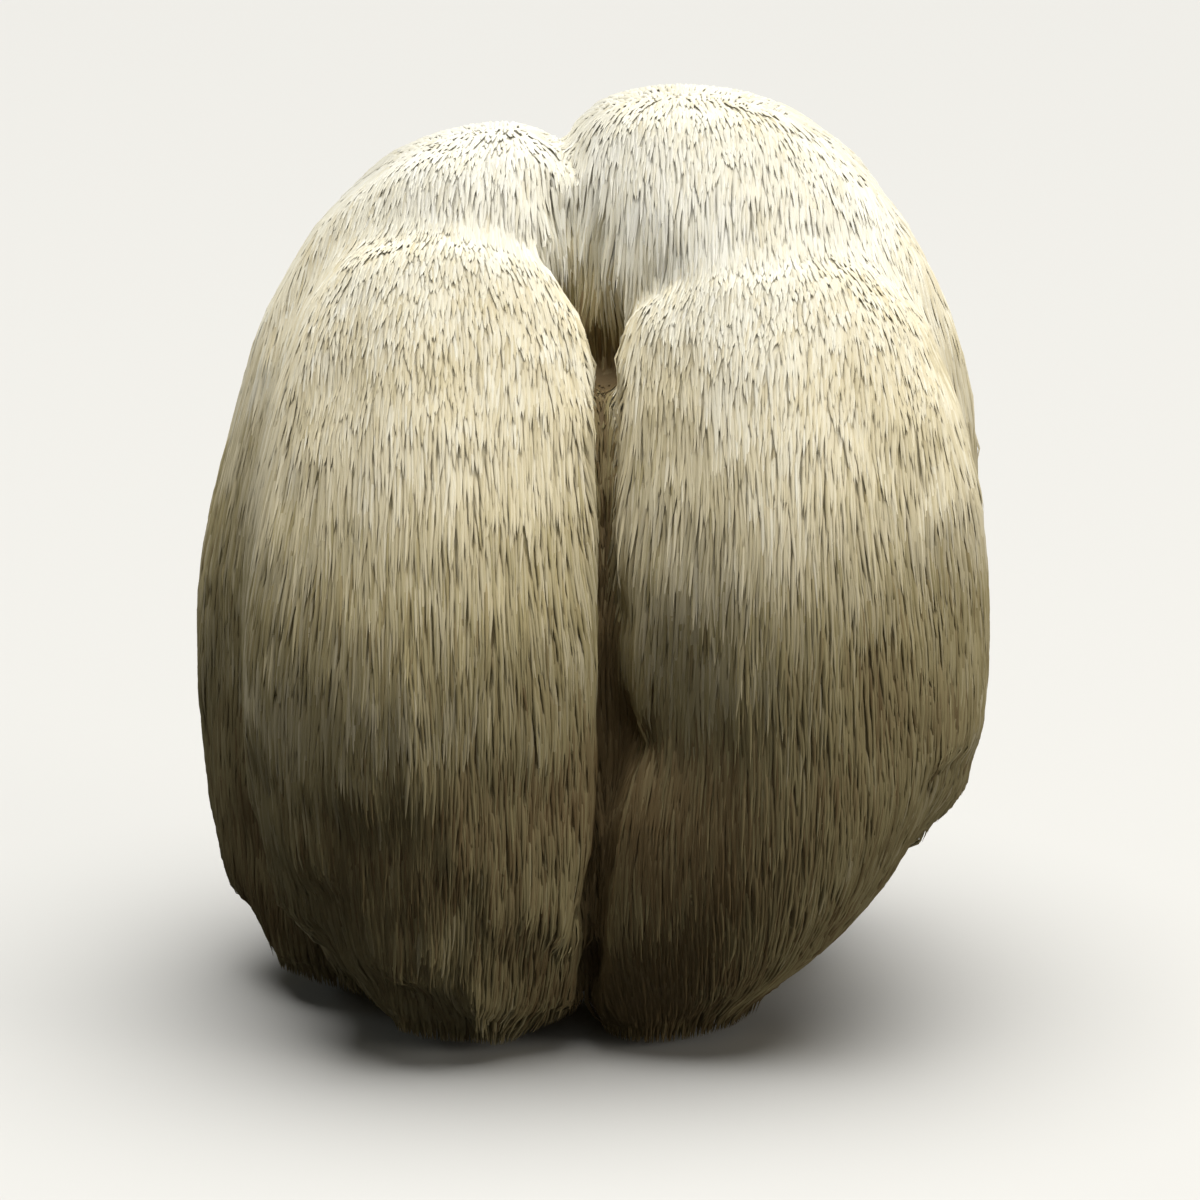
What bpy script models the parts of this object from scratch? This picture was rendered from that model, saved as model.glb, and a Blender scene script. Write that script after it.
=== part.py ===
# Lion's mane mushroom, cut off flat underneath and standing on the cut
# Metres, +Z up, front towards -Y, origin in the middle of the base
# About 142 mm wide, 123 mm deep and 163 mm high over the tips of its spines

import math
import random

import bmesh
import bpy
from mathutils import Matrix, Vector, noise

# Locks of spines: the ridges that fall from each crown and end in hanging points
LOCK_PITCH = 0.0060
LOCK_DEPTH = 0.0017
LOCK_DROP_SHARE = 0.50
LOCK_WANDER = 0.20
LOCK_UNEVENNESS = 0.30
LOCK_SLIP = 0.30
LOBE_ROWS = 13
ROW_EVENING = 0.16
LUMP_SIZE = 0.030
LUMP_HEIGHT = 0.0018

# One tier of a lock, row by row from its root to its hanging point: how far out and how far down
# each row goes, as shares of the lock's depth and drop
TIER_ROWS = ((-0.3, 0.1), (0.6, 0.4), (1.0, 1.0))

# The short stump under the lobes, which the knife left flat
CUT_CENTRE = (0.000, 0.020)
CUT_HALF = (0.030, 0.021)
STUMP_FLARE = 1.35
STUMP_HEIGHT = 0.070
STUMP_SIDES = 36
KNIFE_OVERLAP = 0.002
CUT_BLOCK = 0.300

# Lobes, each from its crown over its belly to its foot: centre line points, then half width and
# half depth at the belly, then how full the shoulder and the foot are (an egg is 2, a barrel more)
LOBES = {
    "back_right": {
        "crown": (0.0160, 0.0240, 0.1625),
        "belly": (0.0290, 0.0200, 0.0900),
        "foot": (0.0210, 0.0180, 0.0040),
        "half": (0.0395, 0.0360),
        "full": (2.60, 2.05),
    },
    "back_left": {
        "crown": (-0.0150, 0.0210, 0.1565),
        "belly": (-0.0348, 0.0155, 0.0640),
        "foot": (-0.0390, -0.0010, 0.0015),
        "half": (0.0350, 0.0340),
        "full": (2.80, 2.15),
    },
    "front_left": {
        "crown": (-0.0250, 0.0040, 0.1430),
        "belly": (-0.0270, -0.0240, 0.0640),
        "foot": (-0.0195, -0.0260, 0.0008),
        "half": (0.0330, 0.0310),
        "full": (2.70, 2.10),
    },
    "front_right": {
        "crown": (0.0300, 0.0030, 0.1400),
        "belly": (0.0345, -0.0180, 0.0730),
        "foot": (0.0405, -0.0130, 0.0310),
        "half": (0.0340, 0.0320),
        "full": (2.80, 2.30),
    },
    "lower_front": {
        "crown": (0.0090, -0.0050, 0.0900),
        "belly": (0.0090, -0.0190, 0.0400),
        "foot": (0.0115, -0.0265, 0.0010),
        "half": (0.0160, 0.0195),
        "full": (2.20, 2.60),
    },
    "lower_right": {
        "crown": (0.0340, -0.0060, 0.0950),
        "belly": (0.0335, -0.0180, 0.0500),
        "foot": (0.0205, -0.0220, 0.0020),
        "half": (0.0185, 0.0200),
        "full": (2.20, 2.00),
    },
    "rear_left": {
        "crown": (-0.0200, 0.0300, 0.1180),
        "belly": (-0.0220, 0.0370, 0.0560),
        "foot": (-0.0180, 0.0300, 0.0030),
        "half": (0.0290, 0.0250),
        "full": (2.80, 2.40),
    },
    "rear_right": {
        "crown": (0.0260, 0.0340, 0.1000),
        "belly": (0.0230, 0.0380, 0.0520),
        "foot": (0.0150, 0.0300, 0.0030),
        "half": (0.0270, 0.0260),
        "full": (2.80, 2.20),
    },
    "heart": {
        "crown": (-0.0010, 0.0020, 0.1200),
        "belly": (0.0010, 0.0060, 0.0700),
        "foot": (0.0000, 0.0120, 0.0060),
        "half": (0.0340, 0.0350),
        "full": (2.60, 2.20),
    },
}

FLESH_COLOUR = (0.72, 0.64, 0.48, 1.0)
FLESH_ROUGHNESS = 0.85


def clear_scene():
    for item in list(bpy.data.objects):
        bpy.data.objects.remove(item, do_unlink=True)


def new_collection(name):
    group = bpy.data.collections.new(name)
    bpy.context.scene.collection.children.link(group)
    return group


def flesh_material():
    material = bpy.data.materials.new("flesh")
    material.use_nodes = True
    shader = material.node_tree.nodes["Principled BSDF"]
    shader.inputs["Base Color"].default_value = FLESH_COLOUR
    shader.inputs["Roughness"].default_value = FLESH_ROUGHNESS
    shader.inputs["Metallic"].default_value = 0.0
    return material


def lobe_point(lobe, lock, row, turn, in_valley):
    """The place of one point of a lobe, on a ridge or in the valley beside it."""
    slip = 0.0 if row in (0, LOBE_ROWS) else lock["slip"]
    fall = (row + slip) / LOBE_ROWS * math.pi
    fall += ROW_EVENING * math.sin(2 * fall)
    upper = fall <= math.pi / 2
    along = abs(math.cos(fall))
    ring = math.sin(fall)
    belly = Vector(lobe["belly"])
    end = Vector(lobe["crown"] if upper else lobe["foot"])
    place = belly.lerp(end, along * along)
    place.z = belly.z + (end.z - belly.z) * along
    fullness = lobe["full"][0 if upper else 1]
    reach = (1.0 - along**fullness) ** (1.0 / fullness)
    outward = Vector((math.sin(turn), -math.cos(turn), 0.0))
    place.x += lobe["half"][0] * reach * outward.x
    place.y += lobe["half"][1] * reach * outward.y
    place += outward * noise.noise(place / LUMP_SIZE) * LUMP_HEIGHT * ring
    if in_valley:
        return place - outward * LOCK_DEPTH * ring
    out_share, down_share = TIER_ROWS[(row + lock["stagger"]) % len(TIER_ROWS)]
    row_height = abs(end.z - belly.z) * ring * math.pi / LOBE_ROWS
    place += outward * LOCK_DEPTH * out_share * lock["height"] * ring
    place.z -= row_height * LOCK_DROP_SHARE * down_share
    return place


def draw_locks(name, count):
    """What makes each ridge of a lobe its own: where it wanders, how high it is, where its points hang."""
    draw = random.Random(name)
    locks = []
    for _ in range(count):
        lock = {
            "wander": draw.uniform(-LOCK_WANDER, LOCK_WANDER),
            "slip": draw.uniform(-LOCK_SLIP, LOCK_SLIP),
            "height": 1.0 + draw.uniform(-LOCK_UNEVENNESS, LOCK_UNEVENNESS),
            "stagger": draw.randrange(len(TIER_ROWS)),
        }
        locks.append(lock)
    return locks


def lobe_object(name, lobe, group):
    girth = math.pi * (lobe["half"][0] + lobe["half"][1])
    locks = draw_locks(name, round(girth / LOCK_PITCH))
    columns = 2 * len(locks)
    shape = bmesh.new()
    bmesh.ops.create_uvsphere(shape, u_segments=columns, v_segments=LOBE_ROWS, radius=1.0)
    for vertex in shape.verts:
        height = max(-1.0, min(1.0, vertex.co.z))
        row = round(math.acos(height) / math.pi * LOBE_ROWS)
        column = round(math.atan2(vertex.co.x, -vertex.co.y) / math.tau * columns) % columns
        lock = locks[column // 2]
        turn = (column + lock["wander"]) / columns * math.tau
        vertex.co = lobe_point(lobe, lock, row, turn, in_valley=column % 2 == 0)
    bmesh.ops.triangulate(shape, faces=shape.faces[:], quad_method="SHORT_EDGE")
    mesh = bpy.data.meshes.new(name)
    shape.to_mesh(mesh)
    shape.free()
    return add_helper(name, mesh, group)


def add_helper(name, mesh, group):
    """Puts a mesh in the scene as a guide, which only the Boolean modifiers read."""
    item = bpy.data.objects.new(name, mesh)
    item.hide_render = True
    item.display_type = "WIRE"
    group.objects.link(item)
    return item


def stump_mesh():
    shape = bmesh.new()
    bmesh.ops.create_cone(
        shape,
        cap_ends=True,
        segments=STUMP_SIDES,
        radius1=1.0,
        radius2=STUMP_FLARE,
        depth=STUMP_HEIGHT + KNIFE_OVERLAP,
    )
    middle = (STUMP_HEIGHT - KNIFE_OVERLAP) / 2
    shape.transform(Matrix.Translation((*CUT_CENTRE, middle)) @ Matrix.Diagonal((*CUT_HALF, 1.0, 1.0)))
    mesh = bpy.data.meshes.new("stump")
    shape.to_mesh(mesh)
    shape.free()
    return mesh


def knife_mesh():
    """A block whose top face is the plane of the cut."""
    shape = bmesh.new()
    bmesh.ops.create_cube(shape, size=CUT_BLOCK, matrix=Matrix.Translation((0, 0, -CUT_BLOCK / 2)))
    mesh = bpy.data.meshes.new("knife")
    shape.to_mesh(mesh)
    shape.free()
    return mesh


def add_boolean(target, tool, operation):
    join = target.modifiers.new(f"{operation.lower()} {tool.name}", "BOOLEAN")
    join.operation = operation
    join.solver = "EXACT"
    join.object = tool


def fruiting_body(parts, helpers):
    """The whole mushroom: every lobe grown into one piece with the stump, then the knife's flat cut."""
    body = bpy.data.objects.new("fruiting_body", stump_mesh())
    parts.objects.link(body)
    body.data.materials.append(flesh_material())
    for name, lobe in LOBES.items():
        add_boolean(body, lobe_object(name, lobe, helpers), "UNION")
    add_boolean(body, add_helper("knife", knife_mesh(), helpers), "DIFFERENCE")
    return body


def centre_on_base(body):
    """Moves everything so that the middle of the mushroom's box is over the origin."""
    anchor = bpy.data.objects.new("base_middle", None)
    bpy.context.scene.collection.objects.link(anchor)
    for item in list(bpy.data.objects):
        if item.type == "MESH":
            item.parent = anchor
    bpy.context.view_layer.update()
    whole = body.evaluated_get(bpy.context.evaluated_depsgraph_get())
    corners = [Vector(corner) for corner in whole.bound_box]
    middle = sum(corners, Vector()) / len(corners)
    anchor.location = (-middle.x, -middle.y, 0.0)


def main():
    clear_scene()
    parts = new_collection("lions_mane_mushroom")
    helpers = new_collection("cutters")
    centre_on_base(fruiting_body(parts, helpers))


main()
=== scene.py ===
# %% [markdown]
# # A lion's mane mushroom
#
# The real thing is one lump of pale flesh, swollen into lobes, with thousands of soft spines that
# hang from it like icicles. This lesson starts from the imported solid, which has the lobes at their
# real size and place. From it come the two things that give the mushroom its look: the flesh, with
# its knife cut underneath, and the coat of spines.

import math

import bmesh
import bpy
import numpy as np
from mathutils import Matrix, Vector, kdtree, noise
from mathutils.bvhtree import BVHTree


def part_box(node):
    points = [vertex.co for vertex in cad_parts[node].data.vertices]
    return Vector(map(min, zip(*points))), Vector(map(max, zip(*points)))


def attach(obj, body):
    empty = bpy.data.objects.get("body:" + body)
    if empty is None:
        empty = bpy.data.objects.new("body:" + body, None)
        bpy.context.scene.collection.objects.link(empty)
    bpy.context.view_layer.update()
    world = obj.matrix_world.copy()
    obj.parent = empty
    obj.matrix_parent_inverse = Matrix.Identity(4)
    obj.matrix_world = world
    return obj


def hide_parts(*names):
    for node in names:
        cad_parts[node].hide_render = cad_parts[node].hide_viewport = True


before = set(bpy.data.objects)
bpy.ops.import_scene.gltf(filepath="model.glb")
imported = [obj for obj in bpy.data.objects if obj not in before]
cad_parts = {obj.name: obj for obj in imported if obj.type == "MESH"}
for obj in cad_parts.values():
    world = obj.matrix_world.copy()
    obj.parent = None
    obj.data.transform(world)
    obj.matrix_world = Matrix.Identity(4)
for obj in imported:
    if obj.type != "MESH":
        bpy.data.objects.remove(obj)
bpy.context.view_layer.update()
MM = 0.001
node_low, node_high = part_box("fruiting_body")
print("solid from", [round(c / MM, 1) for c in node_low], "to", [round(c / MM, 1) for c in node_high])

# %% [markdown]
# ## The camera
#
# The photograph looks at the mushroom from the front and a little from above, through a long lens:
# the far lobes look no smaller than the near ones. A camera about a metre away with a 180 mm lens
# does the same. It is aimed by one point that can be told in both the photograph and the solid:
# the middle of the front crease, at half the mushroom's height.

# %% Camera
PICTURE_SIDE = 1200
PIXEL_SIZE = 0.176 * MM
MIDDLE_PIXEL = (588, 565)
MIDDLE_DEPTH_SHARE = 0.4
CAMERA_TILT = math.radians(15)
LENS_MM = 180
SENSOR_MM = 36


def add_camera():
    lens = bpy.data.cameras.new("camera")
    lens.lens = LENS_MM
    lens.sensor_width = SENSOR_MM
    camera = bpy.data.objects.new("camera", lens)
    bpy.context.scene.collection.objects.link(camera)
    backward = Vector((0.0, -math.cos(CAMERA_TILT), math.sin(CAMERA_TILT)))
    turn = backward.to_track_quat("Z", "Y")
    right = turn @ Vector((1.0, 0.0, 0.0))
    upward = turn @ Vector((0.0, 1.0, 0.0))
    middle_y = node_low.y + MIDDLE_DEPTH_SHARE * (node_high.y - node_low.y)
    middle = Vector((0.0, middle_y, node_high.z / 2))
    half = PICTURE_SIDE / 2
    aim = middle + right * (half - MIDDLE_PIXEL[0]) * PIXEL_SIZE
    aim -= upward * (half - MIDDLE_PIXEL[1]) * PIXEL_SIZE
    distance = PICTURE_SIDE * PIXEL_SIZE * LENS_MM / SENSOR_MM
    camera.matrix_world = Matrix.Translation(aim + backward * distance) @ turn.to_matrix().to_4x4()
    bpy.context.scene.camera = camera
    return distance


print("camera stands", round(add_camera(), 3), "m away")

# %% [markdown]
# ## The floor
#
# The mushroom stands on a pale studio floor, of which only the soft shadow is noticed. One big
# square face is enough for that. It gives back no bounced light, because a pale floor would light
# the lower lobes from below, and in the photograph they are dark.

# %% Floor
FLOOR_SIDE = 6.0
FLOOR_COLOUR = (0.60, 0.60, 0.59, 1.0)
FLOOR_ROUGHNESS = 0.9


def plain_material(name, colour, roughness):
    material = bpy.data.materials.new(name)
    material.use_nodes = True
    shader = material.node_tree.nodes["Principled BSDF"]
    shader.inputs["Base Color"].default_value = colour
    shader.inputs["Roughness"].default_value = roughness
    return material


def add_floor():
    shape = bmesh.new()
    bmesh.ops.create_grid(shape, x_segments=1, y_segments=1, size=FLOOR_SIDE / 2)
    mesh = bpy.data.meshes.new("floor")
    shape.to_mesh(mesh)
    shape.free()
    mesh.materials.append(plain_material("pale_floor", FLOOR_COLOUR, FLOOR_ROUGHNESS))
    floor = bpy.data.objects.new("floor", mesh)
    bpy.context.scene.collection.objects.link(floor)
    floor.visible_diffuse = False
    return floor


print("floor is", round(add_floor().dimensions.x, 1), "m wide")

# %% [markdown]
# ## Lamps
#
# The light in the photograph comes from almost straight above: the crowns are nearly white, and the
# lower lobes sink into shade. A lamp of any size near the mushroom would also light the floor in a
# round pool, so the main light is a very wide sun, a little behind the mushroom and to its right.
# Three small lamps help it. One shows up the right flank, one keeps the shade in front from going
# black, and one draws the left edge.

# %% Lamps
LAMP_AIM = (0, 0, 0.08)


def add_light(name, kind, strength, colour, direction):
    """A light of one kind, turned so that it shines from a direction."""
    light = bpy.data.lights.new(name, kind)
    light.energy = strength
    light.color = colour
    item = bpy.data.objects.new(name, light)
    item.rotation_euler = direction.to_track_quat("Z", "Y").to_euler()
    bpy.context.scene.collection.objects.link(item)
    return item


def add_sun(name, direction, softness, strength, colour):
    sun = add_light(name, "SUN", strength, colour, Vector(direction))
    sun.data.angle = math.radians(softness)


def add_lamp(name, place, side, power, colour):
    lamp = add_light(name, "AREA", power, colour, Vector(place) - Vector(LAMP_AIM))
    lamp.data.shape = "DISK"
    lamp.data.size = side
    lamp.location = place


add_sun("overhead", direction=(0.09, 0.08, 1.0), softness=64, strength=4.5, colour=(1.0, 0.985, 0.95))
add_lamp("front_fill", place=(0.3, -1.0, 0.6), side=0.8, power=0.5, colour=(1.0, 0.96, 0.87))
add_lamp("right_side", place=(1.0, -0.45, 0.30), side=0.5, power=3.2, colour=(1.0, 0.95, 0.86))
add_lamp("left_rim", place=(-0.9, 0.25, 0.45), side=0.4, power=0.4, colour=(0.95, 1.0, 0.95))
print("lights:", len(bpy.data.lights))

# %% [markdown]
# ## Sky
#
# The backdrop is nearly white, but a sky that bright would fill every crease with light. A Light
# Path node tells the rays that come straight from the camera from all others, so the sky is seen
# bright and still lights the mushroom only faintly. The standard view transform leaves the white of
# the crowns white, where the usual one would make it grey.

# %% Sky
SKY_COLOUR = (1.0, 0.96, 0.80, 1.0)
SKY_LIGHT = 0.022
SKY_SEEN = 0.9


def set_sky():
    sky = bpy.data.worlds.new("sky")
    sky.use_nodes = True
    nodes = sky.node_tree.nodes
    backdrop = nodes["Background"]
    backdrop.inputs["Color"].default_value = SKY_COLOUR
    ray = nodes.new("ShaderNodeLightPath")
    power = nodes.new("ShaderNodeMapRange")
    power.inputs["To Min"].default_value = SKY_LIGHT
    power.inputs["To Max"].default_value = SKY_SEEN
    sky.node_tree.links.new(ray.outputs["Is Camera Ray"], power.inputs["Value"])
    sky.node_tree.links.new(power.outputs["Result"], backdrop.inputs["Strength"])
    bpy.context.scene.world = sky


set_sky()
bpy.context.scene.view_settings.view_transform = "Standard"
print("the sky is seen", round(SKY_SEEN / SKY_LIGHT), "times as bright as it lights")

# %% [markdown]
# ## A small language for materials
#
# Long chains of Math nodes are hard to read, so a small class wraps one socket and lets Python's
# own signs add the nodes: `1 - mask` or `mask * 0.3 + 0.5`. Every other kind of node comes from
# one method, which takes the node's type, its settings and what its sockets hold.

# %% Shader maths


class Shade:
    """One output socket of a material's nodes."""

    def __init__(self, tree, socket):
        self.tree = tree
        self.socket = socket

    def node(self, kind, settings, sockets, output=0):
        """Adds a node, sets it, feeds its sockets with values or other Shades and returns an output."""
        made = self.tree.nodes.new(kind)
        for name, value in settings.items():
            if name == "stops":
                set_stops(made.color_ramp, value)
            else:
                setattr(made, name, value)
        for name, value in sockets.items():
            if isinstance(value, Shade):
                self.tree.links.new(value.socket, made.inputs[name])
            else:
                made.inputs[name].default_value = value
        return Shade(self.tree, made.outputs[output])

    def maths(self, operation, first, second):
        return self.node("ShaderNodeMath", {"operation": operation}, {0: first, 1: second})

    def __add__(self, other):
        return self.maths("ADD", self, other)

    def __radd__(self, other):
        return self.maths("ADD", other, self)

    def __sub__(self, other):
        return self.maths("SUBTRACT", self, other)

    def __rsub__(self, other):
        return self.maths("SUBTRACT", other, self)

    def __mul__(self, other):
        return self.maths("MULTIPLY", self, other)

    def __rmul__(self, other):
        return self.maths("MULTIPLY", other, self)

    def other(self, name):
        """Another output of the same node."""
        return Shade(self.tree, self.socket.node.outputs[name])

    def ramp(self, *stops):
        """A colour for each value, between the stops given as (place, colour)."""
        return self.node("ShaderNodeValToRGB", {"stops": stops}, {"Fac": self})

    def step(self, low, high):
        """0 below low, 1 above high and smooth between them."""
        settings = {"interpolation_type": "SMOOTHSTEP"}
        return self.node("ShaderNodeMapRange", settings, {"Value": self, "From Min": low, "From Max": high})


def set_stops(ramp, stops):
    while len(ramp.elements) < len(stops):
        ramp.elements.new(1.0)
    for element, (place, colour) in zip(ramp.elements, stops):
        element.position = place
        element.color = (*colour, 1.0)


def mix_colours(first, second, factor):
    """Colours go through a Mix node, because a Math node would turn them grey."""
    return factor.node("ShaderNodeMix", {"data_type": "RGBA"}, {0: factor, 6: first, 7: second}, output=2)


def new_material(name):
    """A material with its Principled shader and a first Shade to start expressions from."""
    material = bpy.data.materials.new(name)
    material.use_nodes = True
    tree = material.node_tree
    coordinates = tree.nodes.new("ShaderNodeTexCoord")
    return material, tree.nodes["Principled BSDF"], Shade(tree, coordinates.outputs["Object"])


def feed(shader, name, shade):
    shade.tree.links.new(shade.socket, shader.inputs[name])


# %% [markdown]
# ## The flesh starts as a copy of the solid
#
# Under the spines lies a lump of cream flesh. The solid already has its lobes, with ridges and
# tiers on them that stand for locks of spines. Its mesh is loose triangles, so the work starts on
# a copy whose doubled points are merged.
#
# On the photographed mushroom the right front lobe falls in one full curve. The solid has a small
# step under that lobe's belly, and an egg that leans with the lobe fills it. It only needs to pass
# through the copy, because the next cell joins the two.

# %% Copy of the solid
MERGE_DISTANCE = 0.01 * MM
SWELLING_MIDDLE = (31 * MM, -29 * MM, 47 * MM)
SWELLING_HALF = (29.5 * MM, 25 * MM, 46 * MM)
SWELLING_LEAN = 0.35


def add_swelling(shape):
    lean = Matrix.Shear("XY", 4, (SWELLING_LEAN, 0.0))
    place = Matrix.Translation(SWELLING_MIDDLE) @ lean @ Matrix.Diagonal((*SWELLING_HALF, 1.0))
    bmesh.ops.create_uvsphere(shape, u_segments=32, v_segments=24, radius=1.0, matrix=place)


def copy_of_solid(name):
    shape = bmesh.new()
    shape.from_mesh(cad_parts["fruiting_body"].data)
    bmesh.ops.remove_doubles(shape, verts=shape.verts[:], dist=MERGE_DISTANCE)
    add_swelling(shape)
    mesh = bpy.data.meshes.new(name)
    shape.to_mesh(mesh)
    shape.free()
    item = bpy.data.objects.new(name, mesh)
    bpy.context.scene.collection.objects.link(item)
    return item


flesh = copy_of_solid("flesh")
print("copy and swelling have", len(flesh.data.polygons), "faces")

# %% [markdown]
# ### Even faces, and the ridges smoothed away
#
# The faces of the solid are long and uneven, and smoothing them would only crumple them. A voxel
# remesh wraps the whole form in small even faces, and joins what passes through itself. A dozen
# rounds of smoothing then take out the ridges and leave the lobes.

# %% Remesh and smooth
VOXEL = 1.5 * MM
COAT_ROUNDS = 12


def remesh(item):
    even = item.modifiers.new("even faces", "REMESH")
    even.mode = "VOXEL"
    even.voxel_size = VOXEL
    graph = bpy.context.evaluated_depsgraph_get()
    settled = bpy.data.meshes.new_from_object(item.evaluated_get(graph))
    item.modifiers.clear()
    item.data = settled


def smooth(shape, rounds):
    """Moves every point halfway towards the middle of its neighbours, round after round."""
    for _ in range(rounds):
        bmesh.ops.smooth_vert(shape, verts=shape.verts[:], factor=0.5,
                              use_axis_x=True, use_axis_y=True, use_axis_z=True)
    shape.normal_update()


def smoothed(item, rounds):
    shape = bmesh.new()
    shape.from_mesh(item.data)
    smooth(shape, rounds)
    return shape


remesh(flesh)
coat = smoothed(flesh, COAT_ROUNDS)
print("coat has", len(coat.faces), "faces")

# %% [markdown]
# ### Combing out the tiers
#
# The tiers of the lower lobes are broader than the ridges. Enough smoothing to lose them would also
# lose the creases between the lobes. A comb works up and down alone: each point moves sideways
# towards the points above and below it, and hardly towards those beside it, so what runs upright
# stays. How much each edge counts is worked out once. Weights that followed the moving points would
# build terraces. Crowns and undersides have nothing to comb and are left as they are.

# %% Comb
COMB_ROUNDS = 100
COMB_STEP = 0.5
STEEP = (0.25, 0.75)
EVENING_ROUNDS = 4


def comb_weights(shape, places, first, second):
    """How much each edge pulls, by how upright it stands, and how far each point follows."""
    count = len(places)
    apart = places[second] - places[first]
    upright = (apart[:, 2] ** 2 / (apart**2).sum(axis=1)) ** 2
    total = np.bincount(first, upright, count) + np.bincount(second, upright, count)
    steep = 1 - np.abs([vertex.normal.z for vertex in shape.verts])
    share = COMB_STEP * np.interp(steep, STEEP, (0, 1)) / np.maximum(total, 1)
    return upright, share


def comb(shape):
    places = np.array([vertex.co for vertex in shape.verts])
    ends = np.array([[vertex.index for vertex in edge.verts] for edge in shape.edges])
    first, second = ends[:, 0], ends[:, 1]
    upright, share = comb_weights(shape, places, first, second)
    count = len(places)
    for _ in range(COMB_ROUNDS):
        apart = places[second] - places[first]
        for axis in (0, 1):
            pull = upright * apart[:, axis]
            places[:, axis] += share * (np.bincount(first, pull, count) - np.bincount(second, pull, count))
    moved = 0.0
    for vertex, place in zip(shape.verts, places):
        moved = max(moved, math.dist(vertex.co, place))
        vertex.co = place
    smooth(shape, EVENING_ROUNDS)
    return moved


print("combing moved points by up to", round(comb(coat) / MM, 1), "mm")

# %% [markdown]
# ### Back to full size
#
# Every round of smoothing shrinks a shape. The coat is measured and stretched until it fills the
# solid's box again, less the little that spines will stand proud of it at the sides and on top.

# %% Stretch
SIDE_ROOM = 1.5 * MM
TOP_ROOM = 3.0 * MM


def stretch_to_box(shape):
    points = np.array([vertex.co for vertex in shape.verts])
    low, high = points.min(axis=0), points.max(axis=0)
    room = np.array([SIDE_ROOM, SIDE_ROOM, 0.0])
    goal_low = np.array(node_low) + room
    goal_high = np.array(node_high) - room - np.array([0.0, 0.0, TOP_ROOM])
    points = goal_low + (points - low) / (high - low) * (goal_high - goal_low)
    for vertex, place in zip(shape.verts, points):
        vertex.co = place
    print("coat stretched by", [round(float(grown), 3) for grown in (goal_high - goal_low) / (high - low)])


stretch_to_box(coat)

# %% [markdown]
# ### Fuller lobes, deeper creases
#
# Smoothing has also made the creases shallow, where the real ones are deep and nearly black. The
# same mesh, smoothed far more, is a bridge over them: what lies outside it belongs to a lobe, what
# lies inside it to a crease. So a lobe is pushed out a little further, and the crease in the middle
# a good deal further in. The wide hollows at the sides are filled instead, since in the photograph
# the lobes there flow together.
#
# Last, the front crease is pinched until its walls nearly touch. What comes out is the coat, the
# surface that the tips of the spines reach.

# %% Sharpen the form
BRIDGE_ROUNDS = 60
COAT_GAIN = 1.2 * MM
BULGE_GAIN = 0.3
CREASE_GAIN = 3.2
SADDLE_GAIN = -1.1
MIDDLE_HALF = (9 * MM, 24 * MM)
CREASE_LIMIT = 10 * MM
CREASE_X = 2 * MM
PINCH = 0.6
PINCH_REACH = 15 * MM
PINCH_FRONT = (5 * MM, 25 * MM)


def smooth_share(value, low, high):
    """0 below low, 1 above high, with a soft start and end between them."""
    share = min(1.0, max(0.0, (value - low) / (high - low)))
    return share * share * (3 - 2 * share)


def pinch(place):
    """How far a point near the front crease moves sideways, towards the line of the crease."""
    aside = place.x - CREASE_X
    share = (1 - smooth_share(abs(aside), 0.0, PINCH_REACH)) * smooth_share(-place.y, *PINCH_FRONT)
    return Vector((-aside * PINCH * share, 0.0, 0.0))


def sharpen_form(shape):
    """Moves each point by how far it is off the bridge, and returns the bridge."""
    places = [vertex.co.copy() for vertex in shape.verts]
    smooth(shape, BRIDGE_ROUNDS)
    bridge = BVHTree.FromBMesh(shape)
    deepest = 0.0
    for vertex, place in zip(shape.verts, places):
        bulge = (place - vertex.co).dot(vertex.normal)
        if bulge > 0:
            push = bulge * BULGE_GAIN
        else:
            aside = smooth_share(abs(place.x), *MIDDLE_HALF)
            push = max(-CREASE_LIMIT, bulge * (CREASE_GAIN + (SADDLE_GAIN - CREASE_GAIN) * aside))
        vertex.co = place + vertex.normal * (COAT_GAIN + push) + pinch(place)
        deepest = max(deepest, -push)
    shape.normal_update()
    print("creases deepened by up to", round(deepest / MM, 1), "mm")
    return bridge


bridge_tree = sharpen_form(coat)
coat_tree = BVHTree.FromBMesh(coat)

# %% [markdown]
# ### From coat to skin
#
# The spines grow from a skin that lies under the coat. To find it, each point of the coat moves
# inwards along its normal. Where spines lie down, on walls and crowns, less than a millimetre is
# enough. A face that looks down moves up to 3 mm more, so that its spines have room to hang. The
# stump keeps its place, as it will carry the knife's flat cut.

# %% Draw the coat in
COAT_DEPTH = 0.9 * MM
CROWN_DEPTH = 0.6 * MM
HANGING_ROOM = 3 * MM
LOOKING_DOWN = (0.2, 0.95)
LOOKING_UP = (0.2, 0.8)
CUT_MIDDLE = (0.6 * MM, 15.8 * MM)
CUT_HALF = (30 * MM, 21 * MM)
STUMP_EDGE = (1.02, 1.35)
SKIN_ROUNDS = 4


def off_stump(place):
    """0 on the stump and 1 well outside it, seen from above."""
    across = (place.x - CUT_MIDDLE[0]) / CUT_HALF[0]
    deep = (place.y - CUT_MIDDLE[1]) / CUT_HALF[1]
    return smooth_share(math.hypot(across, deep), *STUMP_EDGE)


def draw_in(shape):
    targets = []
    for vertex in shape.verts:
        looks_down = smooth_share(-vertex.normal.z, *LOOKING_DOWN) * off_stump(vertex.co)
        looks_up = smooth_share(vertex.normal.z, *LOOKING_UP)
        depth = COAT_DEPTH + (CROWN_DEPTH - COAT_DEPTH) * looks_up + HANGING_ROOM * looks_down
        targets.append(vertex.co - vertex.normal * depth)
    for vertex, target in zip(shape.verts, targets):
        vertex.co = target


draw_in(coat)
coat.to_mesh(flesh.data)
coat.free()
remesh(flesh)
skin = smoothed(flesh, SKIN_ROUNDS)
print("skin has", len(skin.faces), "faces")

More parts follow.
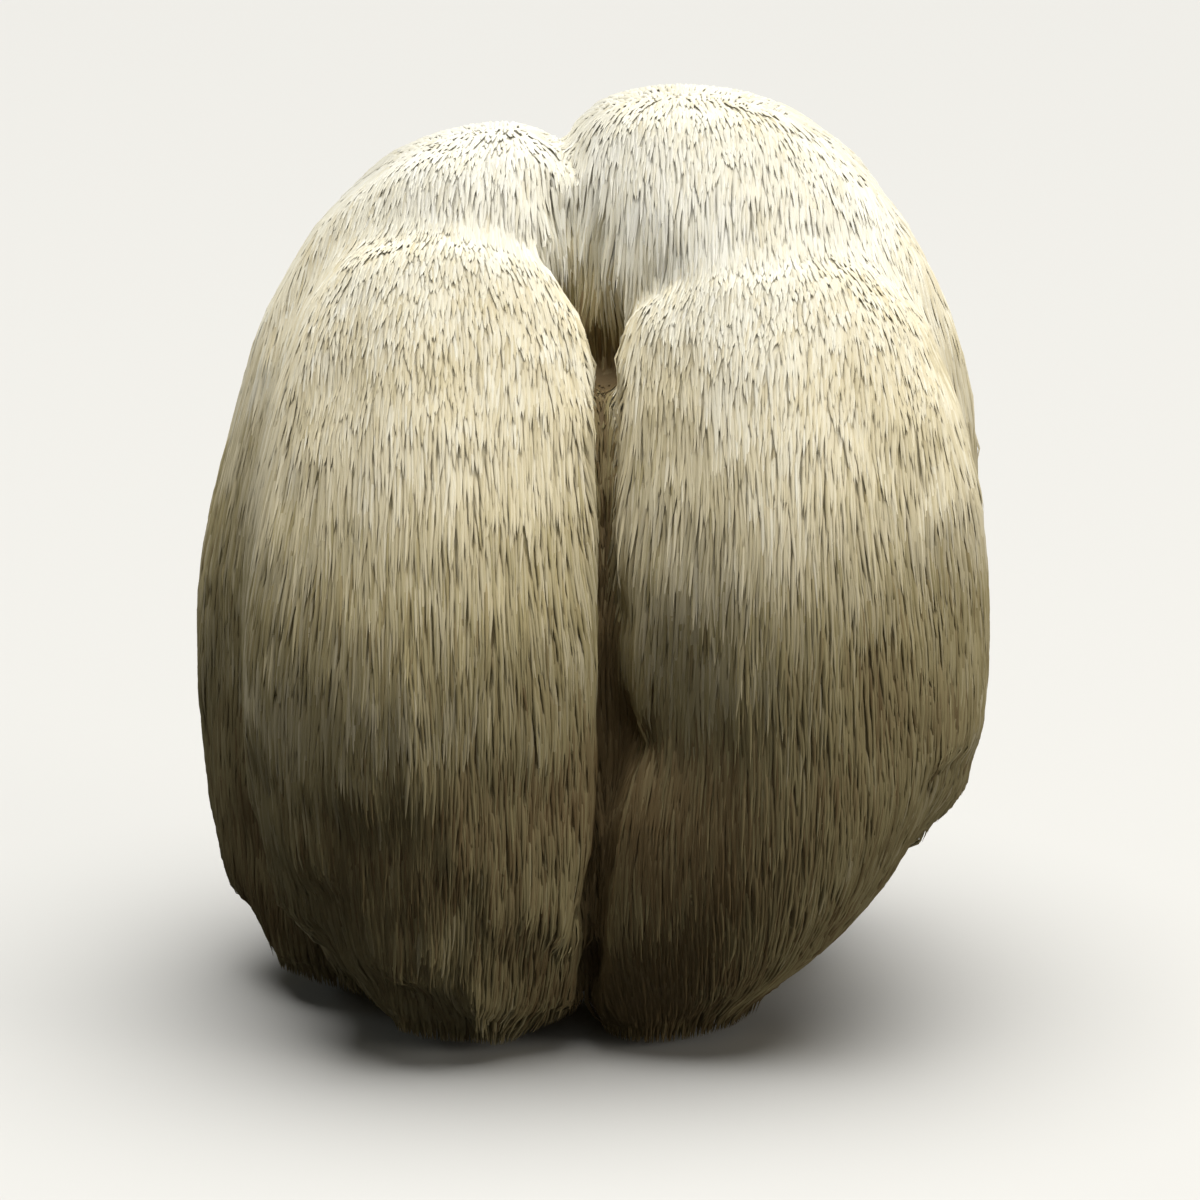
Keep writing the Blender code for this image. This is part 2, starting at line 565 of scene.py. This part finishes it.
# %% [markdown]
# ### The knife's cut
#
# A lion's mane is cut from its log or block with a knife, which leaves a flat pale face under it.
# Points that were simply set to the floor's height would fold over each other at the rim. Instead
# the end of the stump is pushed a little below the floor, sliced off level with it and closed. The
# cut face stays flat shaded, so that its edge is crisp.

# %% Cut
STUMP_REACH = 8 * MM
STUMP_SUNK = 2 * COAT_DEPTH


def slice_stump(shape):
    for vertex in shape.verts:
        low = smooth_share(STUMP_REACH - vertex.co.z, 0.0, STUMP_REACH)
        vertex.co.z -= low * (1 - off_stump(vertex.co)) * STUMP_SUNK
    everything = shape.verts[:] + shape.edges[:] + shape.faces[:]
    cut = bmesh.ops.bisect_plane(shape, geom=everything, plane_co=(0, 0, 0),
                                 plane_no=(0, 0, -1), clear_outer=True)
    rim = [part for part in cut["geom_cut"] if isinstance(part, bmesh.types.BMEdge)]
    closed = bmesh.ops.holes_fill(shape, edges=rim)["faces"]
    for face in shape.faces:
        face.smooth = face not in closed
    return sum(face.calc_area() for face in closed)


cut_area = slice_stump(skin)
skin.normal_update()
skin.to_mesh(flesh.data)
skin_tree = BVHTree.FromBMesh(skin)
skin.free()
print("the cut is", round(cut_area / MM**2), "mm2; the flesh has", len(flesh.data.polygons), "faces")

# %% [markdown]
# ## Where the spines grow
#
# On a real lion's mane the spines stand about a millimetre and a half apart. Here they stand about
# a millimetre apart, since each is a little thinner and no skin may show between them. Points
# scattered by pure chance leave bald patches and crowds, so far too many are drawn at first. Each
# one is kept only when no kept point is nearer than the gap.

# %% Scatter points over the skin
SEED = 7
ROOT_TRIES = 420_000

chance = np.random.default_rng(SEED)


def vectors_of(items, name):
    """One vector of each vertex or normal of a mesh, as rows of an array."""
    values = np.empty(3 * len(items))
    items.foreach_get(name, values)
    return values.reshape(-1, 3)


def scatter(mesh, count):
    """Places and normals at seeded random points of a mesh, as many per area everywhere."""
    mesh.calc_loop_triangles()
    corners = np.empty(3 * len(mesh.loop_triangles), dtype=int)
    mesh.loop_triangles.foreach_get("vertices", corners)
    corners = corners.reshape(-1, 3)
    points = vectors_of(mesh.vertices, "co")
    facing = vectors_of(mesh.vertex_normals, "vector")
    first, second, third = (points[corners[:, k]] for k in range(3))
    areas = np.linalg.norm(np.cross(second - first, third - first), axis=1)
    chosen = corners[chance.choice(len(corners), size=count, p=areas / areas.sum())]
    weights = chance.dirichlet((1, 1, 1), size=count)[:, :, None]
    places = (points[chosen] * weights).sum(axis=1)
    normals = (facing[chosen] * weights).sum(axis=1)
    return places, normals / np.linalg.norm(normals, axis=1, keepdims=True)


tries, tried_normals = scatter(flesh.data, ROOT_TRIES)
print(len(tries), "points tried")

# %% [markdown]
# ### Thinning them out
#
# Crowns get a finer gap than walls, as their spines are short and lie less over each other, and the
# underside gets a wider one, as there they hang free. To look at every kept point for each new one
# would take hours. The space is divided into cells as wide as the widest gap, and only the cells
# around the new point are looked at.

# %% Thin out
CROWN_GAP = 0.82 * MM
WALL_GAP = 0.98 * MM
UNDER_GAP = 1.2 * MM
CROWN_SLOPES = (0.3, 0.8)
UNDER_SLOPES = (0.2, 0.8)
CELLS_AROUND = [(dx, dy, dz) for dx in (-1, 0, 1) for dy in (-1, 0, 1) for dz in (-1, 0, 1)]


def root_gap(normal_z):
    if normal_z > 0:
        return WALL_GAP + (CROWN_GAP - WALL_GAP) * smooth_share(normal_z, *CROWN_SLOPES)
    return WALL_GAP + (UNDER_GAP - WALL_GAP) * smooth_share(-normal_z, *UNDER_SLOPES)


def thin_out(places, gaps):
    """The numbers of the places that have no kept one nearer than their gap."""
    cell = max(gaps)
    grid = {}
    kept = []
    for index, (place, gap) in enumerate(zip(places, gaps)):
        home = [math.floor(c / cell) for c in place]
        near = [other for dx, dy, dz in CELLS_AROUND
                for other in grid.get((home[0] + dx, home[1] + dy, home[2] + dz), ())]
        if all(math.dist(place, other) >= gap for other in near):
            grid.setdefault(tuple(home), []).append(place)
            kept.append(index)
    return kept


kept = thin_out(tries.tolist(), [root_gap(z) for z in tried_normals[:, 2]])
print(len(kept), "points far enough apart")

# %% [markdown]
# ### Leaving out where none can grow
#
# No spine grows on the cut. At the bottom of a crease, or where two walls press together, nobody
# would see one, and its tip would come out of the other wall. The bridge tells how deep a point
# lies in a crease, and a ray along its normal tells how close the next wall is.

# %% Roots
ON_STUMP = 0.5
CREASE_BOTTOM = 9 * MM
OFF_SKIN = 0.1 * MM
OPPOSITE_WALL = 3.0 * MM


def depth_in_crease(place):
    near, out, _, _ = bridge_tree.find_nearest(place)
    return (near - place).dot(out)


def can_grow(place, normal):
    if off_stump(place) < ON_STUMP and place.z < STUMP_REACH:
        return False
    if depth_in_crease(place) > CREASE_BOTTOM:
        return False
    return skin_tree.ray_cast(place + normal * OFF_SKIN, normal, OPPOSITE_WALL)[0] is None


roots = [(Vector(tries[k]), Vector(tried_normals[k])) for k in kept]
roots = [root for root in roots if can_grow(*root)]
print(len(roots), "spines")

# %% [markdown]
# ## Locks
#
# Wet or heavy spines draw together into small locks, with a little shade between them. Every
# spine belongs to the nearest lock leader. Leaders are thinned out of the roots in the same way, in
# a space that is pressed flat, which makes locks tall and narrow. A lock has its own length and its
# own lift off the skin, so that some hang in front of others.

# %% Lock leaders
LOCK_GAP = 3.0 * MM
LOCK_SQUEEZE = 0.4
LOCK_LENGTHS = (0.78, 1.22)
LOCK_LIFTS = (0.8, 1.2)


def squeezed(place):
    return (place[0], place[1], place[2] * LOCK_SQUEEZE)


flat_roots = [squeezed(place) for place, _ in roots]
leaders = thin_out(flat_roots, [LOCK_GAP] * len(roots))
leader_tree = kdtree.KDTree(len(leaders))
for number, index in enumerate(leaders):
    leader_tree.insert(flat_roots[index], number)
leader_tree.balance()
lock_of = [leader_tree.find(place)[1] for place in flat_roots]
lock_length = chance.uniform(*LOCK_LENGTHS, len(leaders))
lock_lift = chance.uniform(*LOCK_LIFTS, len(leaders))
print(len(leaders), "locks")

# %% [markdown]
# ## How long a spine would be
#
# On a crown the spines are short. They are longest on the walls and a little shorter again
# underneath. So the length goes by how far the skin at the root looks up or down, and changes
# softly from one to the other.

# %% Natural length
CROWN_LENGTH = 5 * MM
WALL_LENGTH = 12 * MM
HANGING_LENGTH = 10 * MM
SHORTER_UP = (0.25, 0.85)
SHORTER_DOWN = (0.0, 0.6)


def natural_length(normal_z):
    if normal_z > 0:
        return WALL_LENGTH + (CROWN_LENGTH - WALL_LENGTH) * smooth_share(normal_z, *SHORTER_UP)
    return WALL_LENGTH + (HANGING_LENGTH - WALL_LENGTH) * smooth_share(-normal_z, *SHORTER_DOWN)


print("a spine on top", natural_length(1.0) / MM, "mm, on a wall", natural_length(0.0) / MM, "mm")

# %% [markdown]
# ## How one spine hangs
#
# Spines could be combed by hand as a hair system, but hair is lost when a model is exported, and
# gravity is an easy rule to write down. So each spine is traced in four strides from its root.
# Every stride follows the steepest way down the skin and keeps a little off it. Where the skin
# turns under, the spine lets go and hangs plumb.
#
# On top there is hardly a slope to follow. There the spines part along a line over the back crowns,
# as hair does: those in front of it fall forward and those behind it fall back. A little sway of
# its own and a slow wave through all of them keep a spine from lying ruler straight.

# %% Trace one spine
STEPS = 4
ROOT_SUNK = 0.5 * MM
PARTING_Y = 16 * MM
PARTING_HALF = 10 * MM
PARTING_LEAN = 0.9
ON_TOP = (0.15, 0.7)
SLOPE_GAIN = 1.4
STEEPEST_IN = -0.35
STEEPEST_OUT = 0.9
LETS_GO = (0.75, 1.0)
WAVE = 0.08
WAVE_SIZE = 14 * MM
DOWN = Vector((0, 0, -1))


def side_of_parting(place):
    """-1 in front of the parting, 1 behind it."""
    return min(1.0, max(-1.0, (place.y - PARTING_Y) / PARTING_HALF))


def stride_way(place, out, leave, sway):
    """The way that a spine takes from a place, leaving the skin at some slope."""
    lean = Vector((0, PARTING_LEAN * side_of_parting(place), 0))
    fall = DOWN + lean * smooth_share(out.z, *ON_TOP)
    slope = fall - out * fall.dot(out)
    way = slope.normalized() * min(1.0, slope.length * SLOPE_GAIN) + out * leave
    way = way.lerp(DOWN, smooth_share(-out.z, *LETS_GO))
    wave = noise.noise(place / WAVE_SIZE) * WAVE
    way += out.cross(DOWN) * (wave + sway[0]) + out * sway[1]
    return way.normalized()


def trace(root, normal, length, lift, sway):
    """The places along one spine, from inside the flesh to the tip."""
    place = root - normal * ROOT_SUNK
    places = [place]
    stride = length / STEPS
    for step in range(STEPS):
        _, out, _, gap = skin_tree.find_nearest(place)
        # The root is inside the flesh, and the distance to the skin doesn't say on which side
        if step == 0:
            gap = -ROOT_SUNK
        # Most of the lift comes in the first strides, and the rest of the spine runs along the skin
        wanted = lift * (1 - (1 - (step + 1) / STEPS) ** 2)
        leave = min(STEEPEST_OUT, max(STEEPEST_IN, (wanted - gap) / stride))
        place = place + stride_way(place, out, leave, sway) * stride
        places.append(place)
    return places


first_root, first_normal = roots[0]
first_places = trace(first_root, first_normal, WALL_LENGTH, 0.0, (0.0, 0.0))
print("a spine falls", round((first_places[0].z - first_places[-1].z) / MM, 1), "mm")

# %% [markdown]
# ## Where a spine ends
#
# The coat is the outline that the photograph shows, so a spine may stand proud of it by a
# millimetre on a wall and not at all on a crown or underneath. The floor is the other limit. A
# spine that crosses either is made shorter, with as many strides as before.

# %% Shorten a spine
PROUD = 1.0 * MM
PROUD_ON_WALL = (0.1, 0.6)
FLOOR_GAP = 0.8 * MM


def outside(place):
    """How far a place is beyond what a spine may reach; below 0 is within reach."""
    near, out, _, _ = coat_tree.find_nearest(place)
    proud = PROUD * smooth_share(1.0 - abs(out.z), *PROUD_ON_WALL)
    return max((place - near).dot(out) - proud, FLOOR_GAP - place.z)


def reach_of(places):
    """How many strides a spine can go before it crosses the limit."""
    before = -PROUD
    for step in range(1, STEPS + 1):
        now = outside(places[step])
        if now > 0:
            return step - 1 + max(0.0, -before) / (now - min(before, 0.0))
        before = now
    return STEPS


def shorten(places):
    reach = reach_of(places)
    if reach == STEPS:
        return places
    shorter = []
    for step in range(STEPS + 1):
        along = step / STEPS * reach
        whole = min(int(along), STEPS - 1)
        shorter.append(places[whole].lerp(places[whole + 1], along - whole))
    return shorter


print("a spine on the first root goes", round(reach_of(first_places), 1), "of", STEPS, "strides")

# %% [markdown]
# ## Growing all of them
#
# Each spine gets its lock's length and lift, each changed a little by chance or by its own length.
# The shorter ones stand off the skin a little more, so that they aren't buried under the long ones.

# %% All the paths
LIFT = 0.6 * MM
LIFT_OF_SHORT = 1.1
LIFT_LOST_WITH_LENGTH = 0.2
SWAY = 0.035
OWN_LENGTHS = (0.82, 1.18)


def grow_all():
    paths = []
    sways = chance.normal(0, SWAY, (len(roots), 2))
    own = chance.uniform(*OWN_LENGTHS, len(roots))
    for number, (place, normal) in enumerate(roots):
        lock = lock_of[number]
        length = natural_length(normal.z) * lock_length[lock] * own[number]
        lift = LIFT * lock_lift[lock] * (LIFT_OF_SHORT - LIFT_LOST_WITH_LENGTH * own[number])
        paths.append(shorten(trace(place, normal, length, lift, sways[number])))
    return np.array(paths)


paths = grow_all()
lengths = np.linalg.norm(np.diff(paths, axis=1), axis=2).sum(axis=1)
print("spines measure", round(lengths.min() / MM, 1), "to", round(lengths.max() / MM, 1), "mm")

# %% [markdown]
# ## Drawing each lock together
#
# Now every spine bends sideways towards its lock's leader, not at the root but more and more
# towards the tip, as wet hair does. The pull is light, because a strong one would bare the skin
# between the locks, and it fades out on the crowns, where no way is sideways.

# %% Draw together
LOCK_PULL = 0.15
PULL_CURVE = 1.5
SHORTEST_SIDE = 0.2

normals = np.array([normal for _, normal in roots])
sides = np.cross(normals, (0, 0, -1))
sides /= np.maximum(np.linalg.norm(sides, axis=1, keepdims=True), SHORTEST_SIDE)
leader_paths = paths[np.array(leaders)[np.array(lock_of)]]
along = np.linspace(0, 1, STEPS + 1)
apart = ((leader_paths - paths) * sides[:, None, :]).sum(axis=2)
paths += sides[:, None, :] * (apart * LOCK_PULL * along**PULL_CURVE)[:, :, None]
print("locks draw their spines in by up to", round(float(abs(apart).max()) * LOCK_PULL / MM, 1), "mm")

# %% [markdown]
# ## The shape of one spine
#
# One spine is a three-sided cone with a few rings, the fewest faces that still taper and bend.
# With so many spines in a coat, every face of one counts tens of thousands of times. The cone is
# only a template: what is kept of it is on which ring and at which turn each point sits, and which
# points its faces join.

# %% Template of one spine


def spine_template():
    """Rings and turns of the points of one spine, and its faces, all triangles."""
    shape = bmesh.new()
    bmesh.ops.create_cone(shape, cap_ends=True, segments=3, radius1=1, radius2=0, depth=1,
                          matrix=Matrix.Translation((0, 0, 0.5)))
    for step in range(1, STEPS):
        everything = shape.verts[:] + shape.edges[:] + shape.faces[:]
        bmesh.ops.bisect_plane(shape, geom=everything, plane_co=(0, 0, step / STEPS), plane_no=(0, 0, 1))
    bmesh.ops.recalc_face_normals(shape, faces=shape.faces[:])
    bmesh.ops.triangulate(shape, faces=shape.faces[:])
    shape.verts.ensure_lookup_table()
    rings = np.array([round(vertex.co.z * STEPS) for vertex in shape.verts])
    turns = np.array([math.atan2(vertex.co.y, vertex.co.x) for vertex in shape.verts])
    faces = np.array([[vertex.index for vertex in face.verts] for face in shape.faces])
    shape.free()
    return rings, turns, faces


rings, turns, template_faces = spine_template()
print("one spine has", len(template_faces), "triangles")

# %% [markdown]
# ## Laying the template along the paths
#
# To place tens of thousands of objects would take Blender minutes. Arithmetic on whole arrays lays
# all the templates along their paths in one go. A spine is flattened against the skin, so that the
# coat closes without growing thick. It keeps its thickness down most of its length and comes to a
# point only near the end.
#
# Real spines let light through, so neighbours blend. Facets of a hard mesh would instead give each
# one a bright and a dark edge. To soften that, the normals at a spine's points are bent towards
# the normal of the coat above it.

# %% Points and normals of the spines
RADIUS = 0.5 * MM
RADIUS_SPREAD = (0.8, 1.15)
SHORT_AND_LONG = (3 * MM, 9 * MM)
RADIUS_BY_LENGTH = (1.1, 1.0)
FLATNESS = 0.6
SOFTNESS = 1.2
TAPER_CURVE = 2.5
TINIEST = 1e-6

coat_normals = np.array([coat_tree.find_nearest(Vector(path[STEPS // 2]))[1] for path in paths])
thickness = RADIUS * chance.uniform(*RADIUS_SPREAD, len(roots))
thickness *= np.interp(lengths, SHORT_AND_LONG, RADIUS_BY_LENGTH)
taper = 1 - along**TAPER_CURVE


def spine_points(chosen):
    """The corner points of the chosen spines, and the way that each of them faces."""
    lines = paths[chosen]
    ways = np.gradient(lines, axis=1)
    ways /= np.linalg.norm(ways, axis=2, keepdims=True)
    across = np.cross(normals[chosen][:, None, :], ways)
    across /= np.maximum(np.linalg.norm(across, axis=2, keepdims=True), TINIEST)
    outward = np.cross(ways, across)
    aside = np.cos(turns)[None, :, None] * across[:, rings]
    off_skin = np.sin(turns)[None, :, None] * outward[:, rings]
    radius = thickness[chosen][:, None] * taper[None, :]
    points = lines[:, rings] + (aside + FLATNESS * off_skin) * radius[:, rings][:, :, None]
    facing = aside + off_skin + SOFTNESS * coat_normals[chosen][:, None, :]
    return points.reshape(-1, 3), facing.reshape(-1, 3)


print("spines are", round(2 * thickness.min() / MM, 2), "to", round(2 * thickness.max() / MM, 2), "mm thick")

# %% [markdown]
# ## A map for their colours
#
# Each spine also gets its own narrow strip of a UV map. Where the strip lies across the map says
# how pale the spine is, and up the map goes the way from root to tip. So one material colours them
# all, and a spine's colour rides with it wherever it hangs. The map is named OFBake, so that colours
# baked from the material can land on these same strips.

# %% One mesh of many spines
STRIP_HALF = 0.005
STRIP_START = 0.02
STRIP_LENGTH = 0.96
STRIP_LEAN = 0.004


def spine_strips(chosen, tints):
    """The place of each corner point on the map of colours."""
    u = tints[chosen][:, None] + (np.cos(turns) * STRIP_HALF)[None, :]
    v = np.broadcast_to(STRIP_START + STRIP_LENGTH * rings / STEPS + STRIP_LEAN * np.sin(turns), u.shape)
    return np.stack((u, v), axis=2).reshape(-1, 2)


def spine_mesh(name, chosen, tints):
    points, facing = spine_points(chosen)
    first_points = np.arange(len(chosen)) * len(rings)
    faces = (template_faces[None] + first_points[:, None, None]).reshape(-1, 3)
    mesh = bpy.data.meshes.new(name)
    mesh.from_pydata(points, [], faces.tolist())
    uv = spine_strips(chosen, tints)[faces.ravel()]
    mesh.uv_layers.new(name="OFBake").data.foreach_set("uv", uv.ravel())
    mesh.shade_smooth()
    mesh.update()
    mesh.normals_split_custom_set_from_vertices(facing.tolist())
    return mesh


print("a strip takes", round(2 * STRIP_HALF * 100), "% of the map's width")

# %% [markdown]
# ## How pale each spine is
#
# A fresh lion's mane is white and browns with age. On this one the tint falls from nearly white on
# the crowns to dark brown at the foot: a little of that is browning, and most is painted shade, as
# the lower lobes lie in the shade of those above. Spines deep in a crease are painted browner
# still, as shade. A few brown patches mark the front: the one in the pocket between the front
# crowns is painted shade, and the lower ones are stains deepened by painted shade under the lobes.
# Soft patches of noise keep the rest from looking flat. The skin between the spines gets the same
# tint, as an attribute of its points, or it would show through as bright dots.

# %% Tints
# Tint by height: darker towards the foot, mostly painted shade under the lobes and a little browning.
TINT_HEIGHTS = np.array([20, 40, 60, 85, 110, 150]) * MM
TINT_VALUES = (0.14, 0.16, 0.19, 0.28, 0.55, 0.90)
CREASE_DEPTHS = (0.8 * MM, 4 * MM)
# Painted shade: how much browner the tint is deep in a crease.
CREASE_PAINTED_SHADE = 0.42
# Brown patches: painted shade in the front pocket, and stains deepened by painted shade lower down.
STAINS_AND_SHADE_MM = (((12, -42, 55), 30), ((1, -4, 122), 20), ((16, -40, 22), 24))
STAIN_AND_SHADE_FADE = (0.3, 1.0)
STAIN_AND_SHADE_BROWN = 0.22
PATCHES = ((0.10, 9 * MM), (0.14, 28 * MM))
TINT_SPREAD = 0.07
MAP_EDGE = 0.01


def stain_and_shade_at(place):
    """1 in the middle of a brown patch, 0 where none reaches; the patches are stains and painted shade."""
    return max(1 - smooth_share((place - Vector(middle) * MM).length / (reach * MM), *STAIN_AND_SHADE_FADE)
               for middle, reach in STAINS_AND_SHADE_MM)


def tint_of(place):
    """How pale the mushroom is at a place, painted shade included: 0 is brown and 1 is nearly white."""
    patches = sum(strength * noise.noise(place / size) for strength, size in PATCHES)
    # Painted shade deep in creases.
    crease = smooth_share(depth_in_crease(place), *CREASE_DEPTHS)
    # Stains and painted shade in the brown patches darken the tint too.
    paleness = patches - CREASE_PAINTED_SHADE * crease - STAIN_AND_SHADE_BROWN * stain_and_shade_at(place)
    return float(np.interp(place.z, TINT_HEIGHTS, TINT_VALUES)) + paleness


tints = np.array([tint_of(place) for place, _ in roots])
tints = np.clip(tints + chance.normal(0, TINT_SPREAD, len(roots)), 0, 1)
tints = tints * (1 - 2 * MAP_EDGE) + MAP_EDGE
skin_tints = np.array([tint_of(vertex.co) for vertex in flesh.data.vertices])
flesh.data.attributes.new("tint", "FLOAT", "POINT").data.foreach_set("value", np.clip(skin_tints, 0, 1))
print("tints", round(float(tints.min()), 2), "to", round(float(tints.max()), 2))

# %% [markdown]
# ## Colour of the spines
#
# Five colours, from dark brown over tan and straw to warm white, cover every tint. Near its root a
# spine is painted towards brown, most of all a dark one: that is painted shade where the spines lie
# over each other, and it gives the coat its depth. The spines are soft and slightly damp, so they
# are neither glossy nor chalky.

# %% Material of the spines
TINT_COLOURS = ((0.0, (0.20, 0.14, 0.065)), (0.25, (0.41, 0.35, 0.185)), (0.55, (0.73, 0.66, 0.47)),
                (0.8, (0.87, 0.84, 0.71)), (1.0, (0.94, 0.925, 0.84)))
# Painted shade at the roots, where the spines lie over each other.
ROOT_SHADE_COLOUR = (0.42, 0.33, 0.18, 1.0)
ROOT_SHADE_REACH = 0.5
ROOT_SHADE_STRENGTH = 0.9
SPINE_ROUGHNESS = 0.7
SPINE_GLOSS = 0.2


def spine_material():
    material, shader, start = new_material("spines")
    spot = start.node("ShaderNodeUVMap", {"uv_map": "OFBake"}, {})
    tint = start.node("ShaderNodeSeparateXYZ", {}, {"Vector": spot})
    # Painted shade: near its root a spine goes towards brown.
    root_shade = (1 - tint.other("Y").step(0.0, ROOT_SHADE_REACH)) * (ROOT_SHADE_STRENGTH - tint)
    feed(shader, "Base Color", mix_colours(tint.ramp(*TINT_COLOURS), ROOT_SHADE_COLOUR, root_shade))
    shader.inputs["Roughness"].default_value = SPINE_ROUGHNESS
    shader.inputs["Specular IOR Level"].default_value = SPINE_GLOSS
    return material


spines = spine_material()
print("the spines' material has", len(spines.node_tree.nodes), "nodes")

# %% [markdown]
# ## Colour of the flesh
#
# The skin has the spines' own colours, a little darker, as painted shade for the depth between the
# spines. Noise drawn out upright streaks it, so that what shows between two spines looks like more
# of them further in. The cut face is another thing: clean, pale and spongy. The two change over
# within the first millimetres above the cut.

# %% Material of the flesh
FIBRE_SQUEEZE = (1.0, 1.0, 0.12)
FIBRE_SCALE = 700.0
FIBRE_DETAIL = 3.0
FIBRE_STREAKS = 0.6
FIBRE_HEIGHT = 0.4 * MM
FIBRE_BUMP = 0.4
# Painted shade: the skin is a little darker than the spines over it.
SKIN_PAINTED_SHADE = 0.08
CUT_COLOURS = ((0.35, (0.72, 0.66, 0.48)), (0.65, (0.92, 0.89, 0.77)))
CUT_EDGE = (0.3 * MM, 2.0 * MM)
FLESH_ROUGHNESS = 0.8


def flesh_material():
    material, shader, place = new_material("flesh")
    height = place.node("ShaderNodeSeparateXYZ", {}, {"Vector": place}).other("Z")
    drawn_out = place.node("ShaderNodeVectorMath", {"operation": "MULTIPLY"}, {0: place, 1: FIBRE_SQUEEZE})
    grain = {"Vector": drawn_out, "Scale": FIBRE_SCALE, "Detail": FIBRE_DETAIL}
    fibres = place.node("ShaderNodeTexNoise", {}, grain)
    tint = place.node("ShaderNodeAttribute", {"attribute_name": "tint"}, {}, output="Fac")
    # Painted shade: the skin's tint is lowered a little.
    skin_colour = (tint + (fibres - 0.5) * FIBRE_STREAKS - SKIN_PAINTED_SHADE).ramp(*TINT_COLOURS)
    cut_colour = fibres.ramp(*CUT_COLOURS)
    feed(shader, "Base Color", mix_colours(cut_colour, skin_colour, height.step(*CUT_EDGE)))
    bump = {"Height": fibres, "Strength": FIBRE_BUMP, "Distance": FIBRE_HEIGHT}
    feed(shader, "Normal", fibres.node("ShaderNodeBump", {}, bump))
    shader.inputs["Roughness"].default_value = FLESH_ROUGHNESS
    return material


flesh.data.materials.clear()
flesh.data.materials.append(flesh_material())
print("the flesh's material has", len(flesh.data.materials[0].node_tree.nodes), "nodes")

# %% [markdown]
# ## Six pieces of coat
#
# The whole coat could be one mesh, but then a mesh of its size is slow to open and edit. The
# spines are sorted by the way they lie from the middle and shared out into six pieces of equal
# count, named for the side of the mushroom that each one covers.

# %% Spine pieces
SECTORS = ("front_left_spines", "front_spines", "front_right_spines", "back_right_spines", "back_spines",
           "back_left_spines")
around = np.arctan2([place.y for place, _ in roots], [place.x for place, _ in roots])

pieces = []
for name, chosen in zip(SECTORS, np.array_split(np.argsort(around), len(SECTORS))):
    mesh = spine_mesh(name, chosen, tints)
    mesh.materials.append(spines)
    piece = bpy.data.objects.new(name, mesh)
    bpy.context.scene.collection.objects.link(piece)
    pieces.append(piece)
    print(name, len(chosen), "spines,", len(mesh.polygons), "triangles")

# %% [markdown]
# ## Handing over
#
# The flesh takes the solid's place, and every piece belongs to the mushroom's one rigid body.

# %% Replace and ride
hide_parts("fruiting_body")
for item in [flesh] + pieces:
    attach(item, "root")
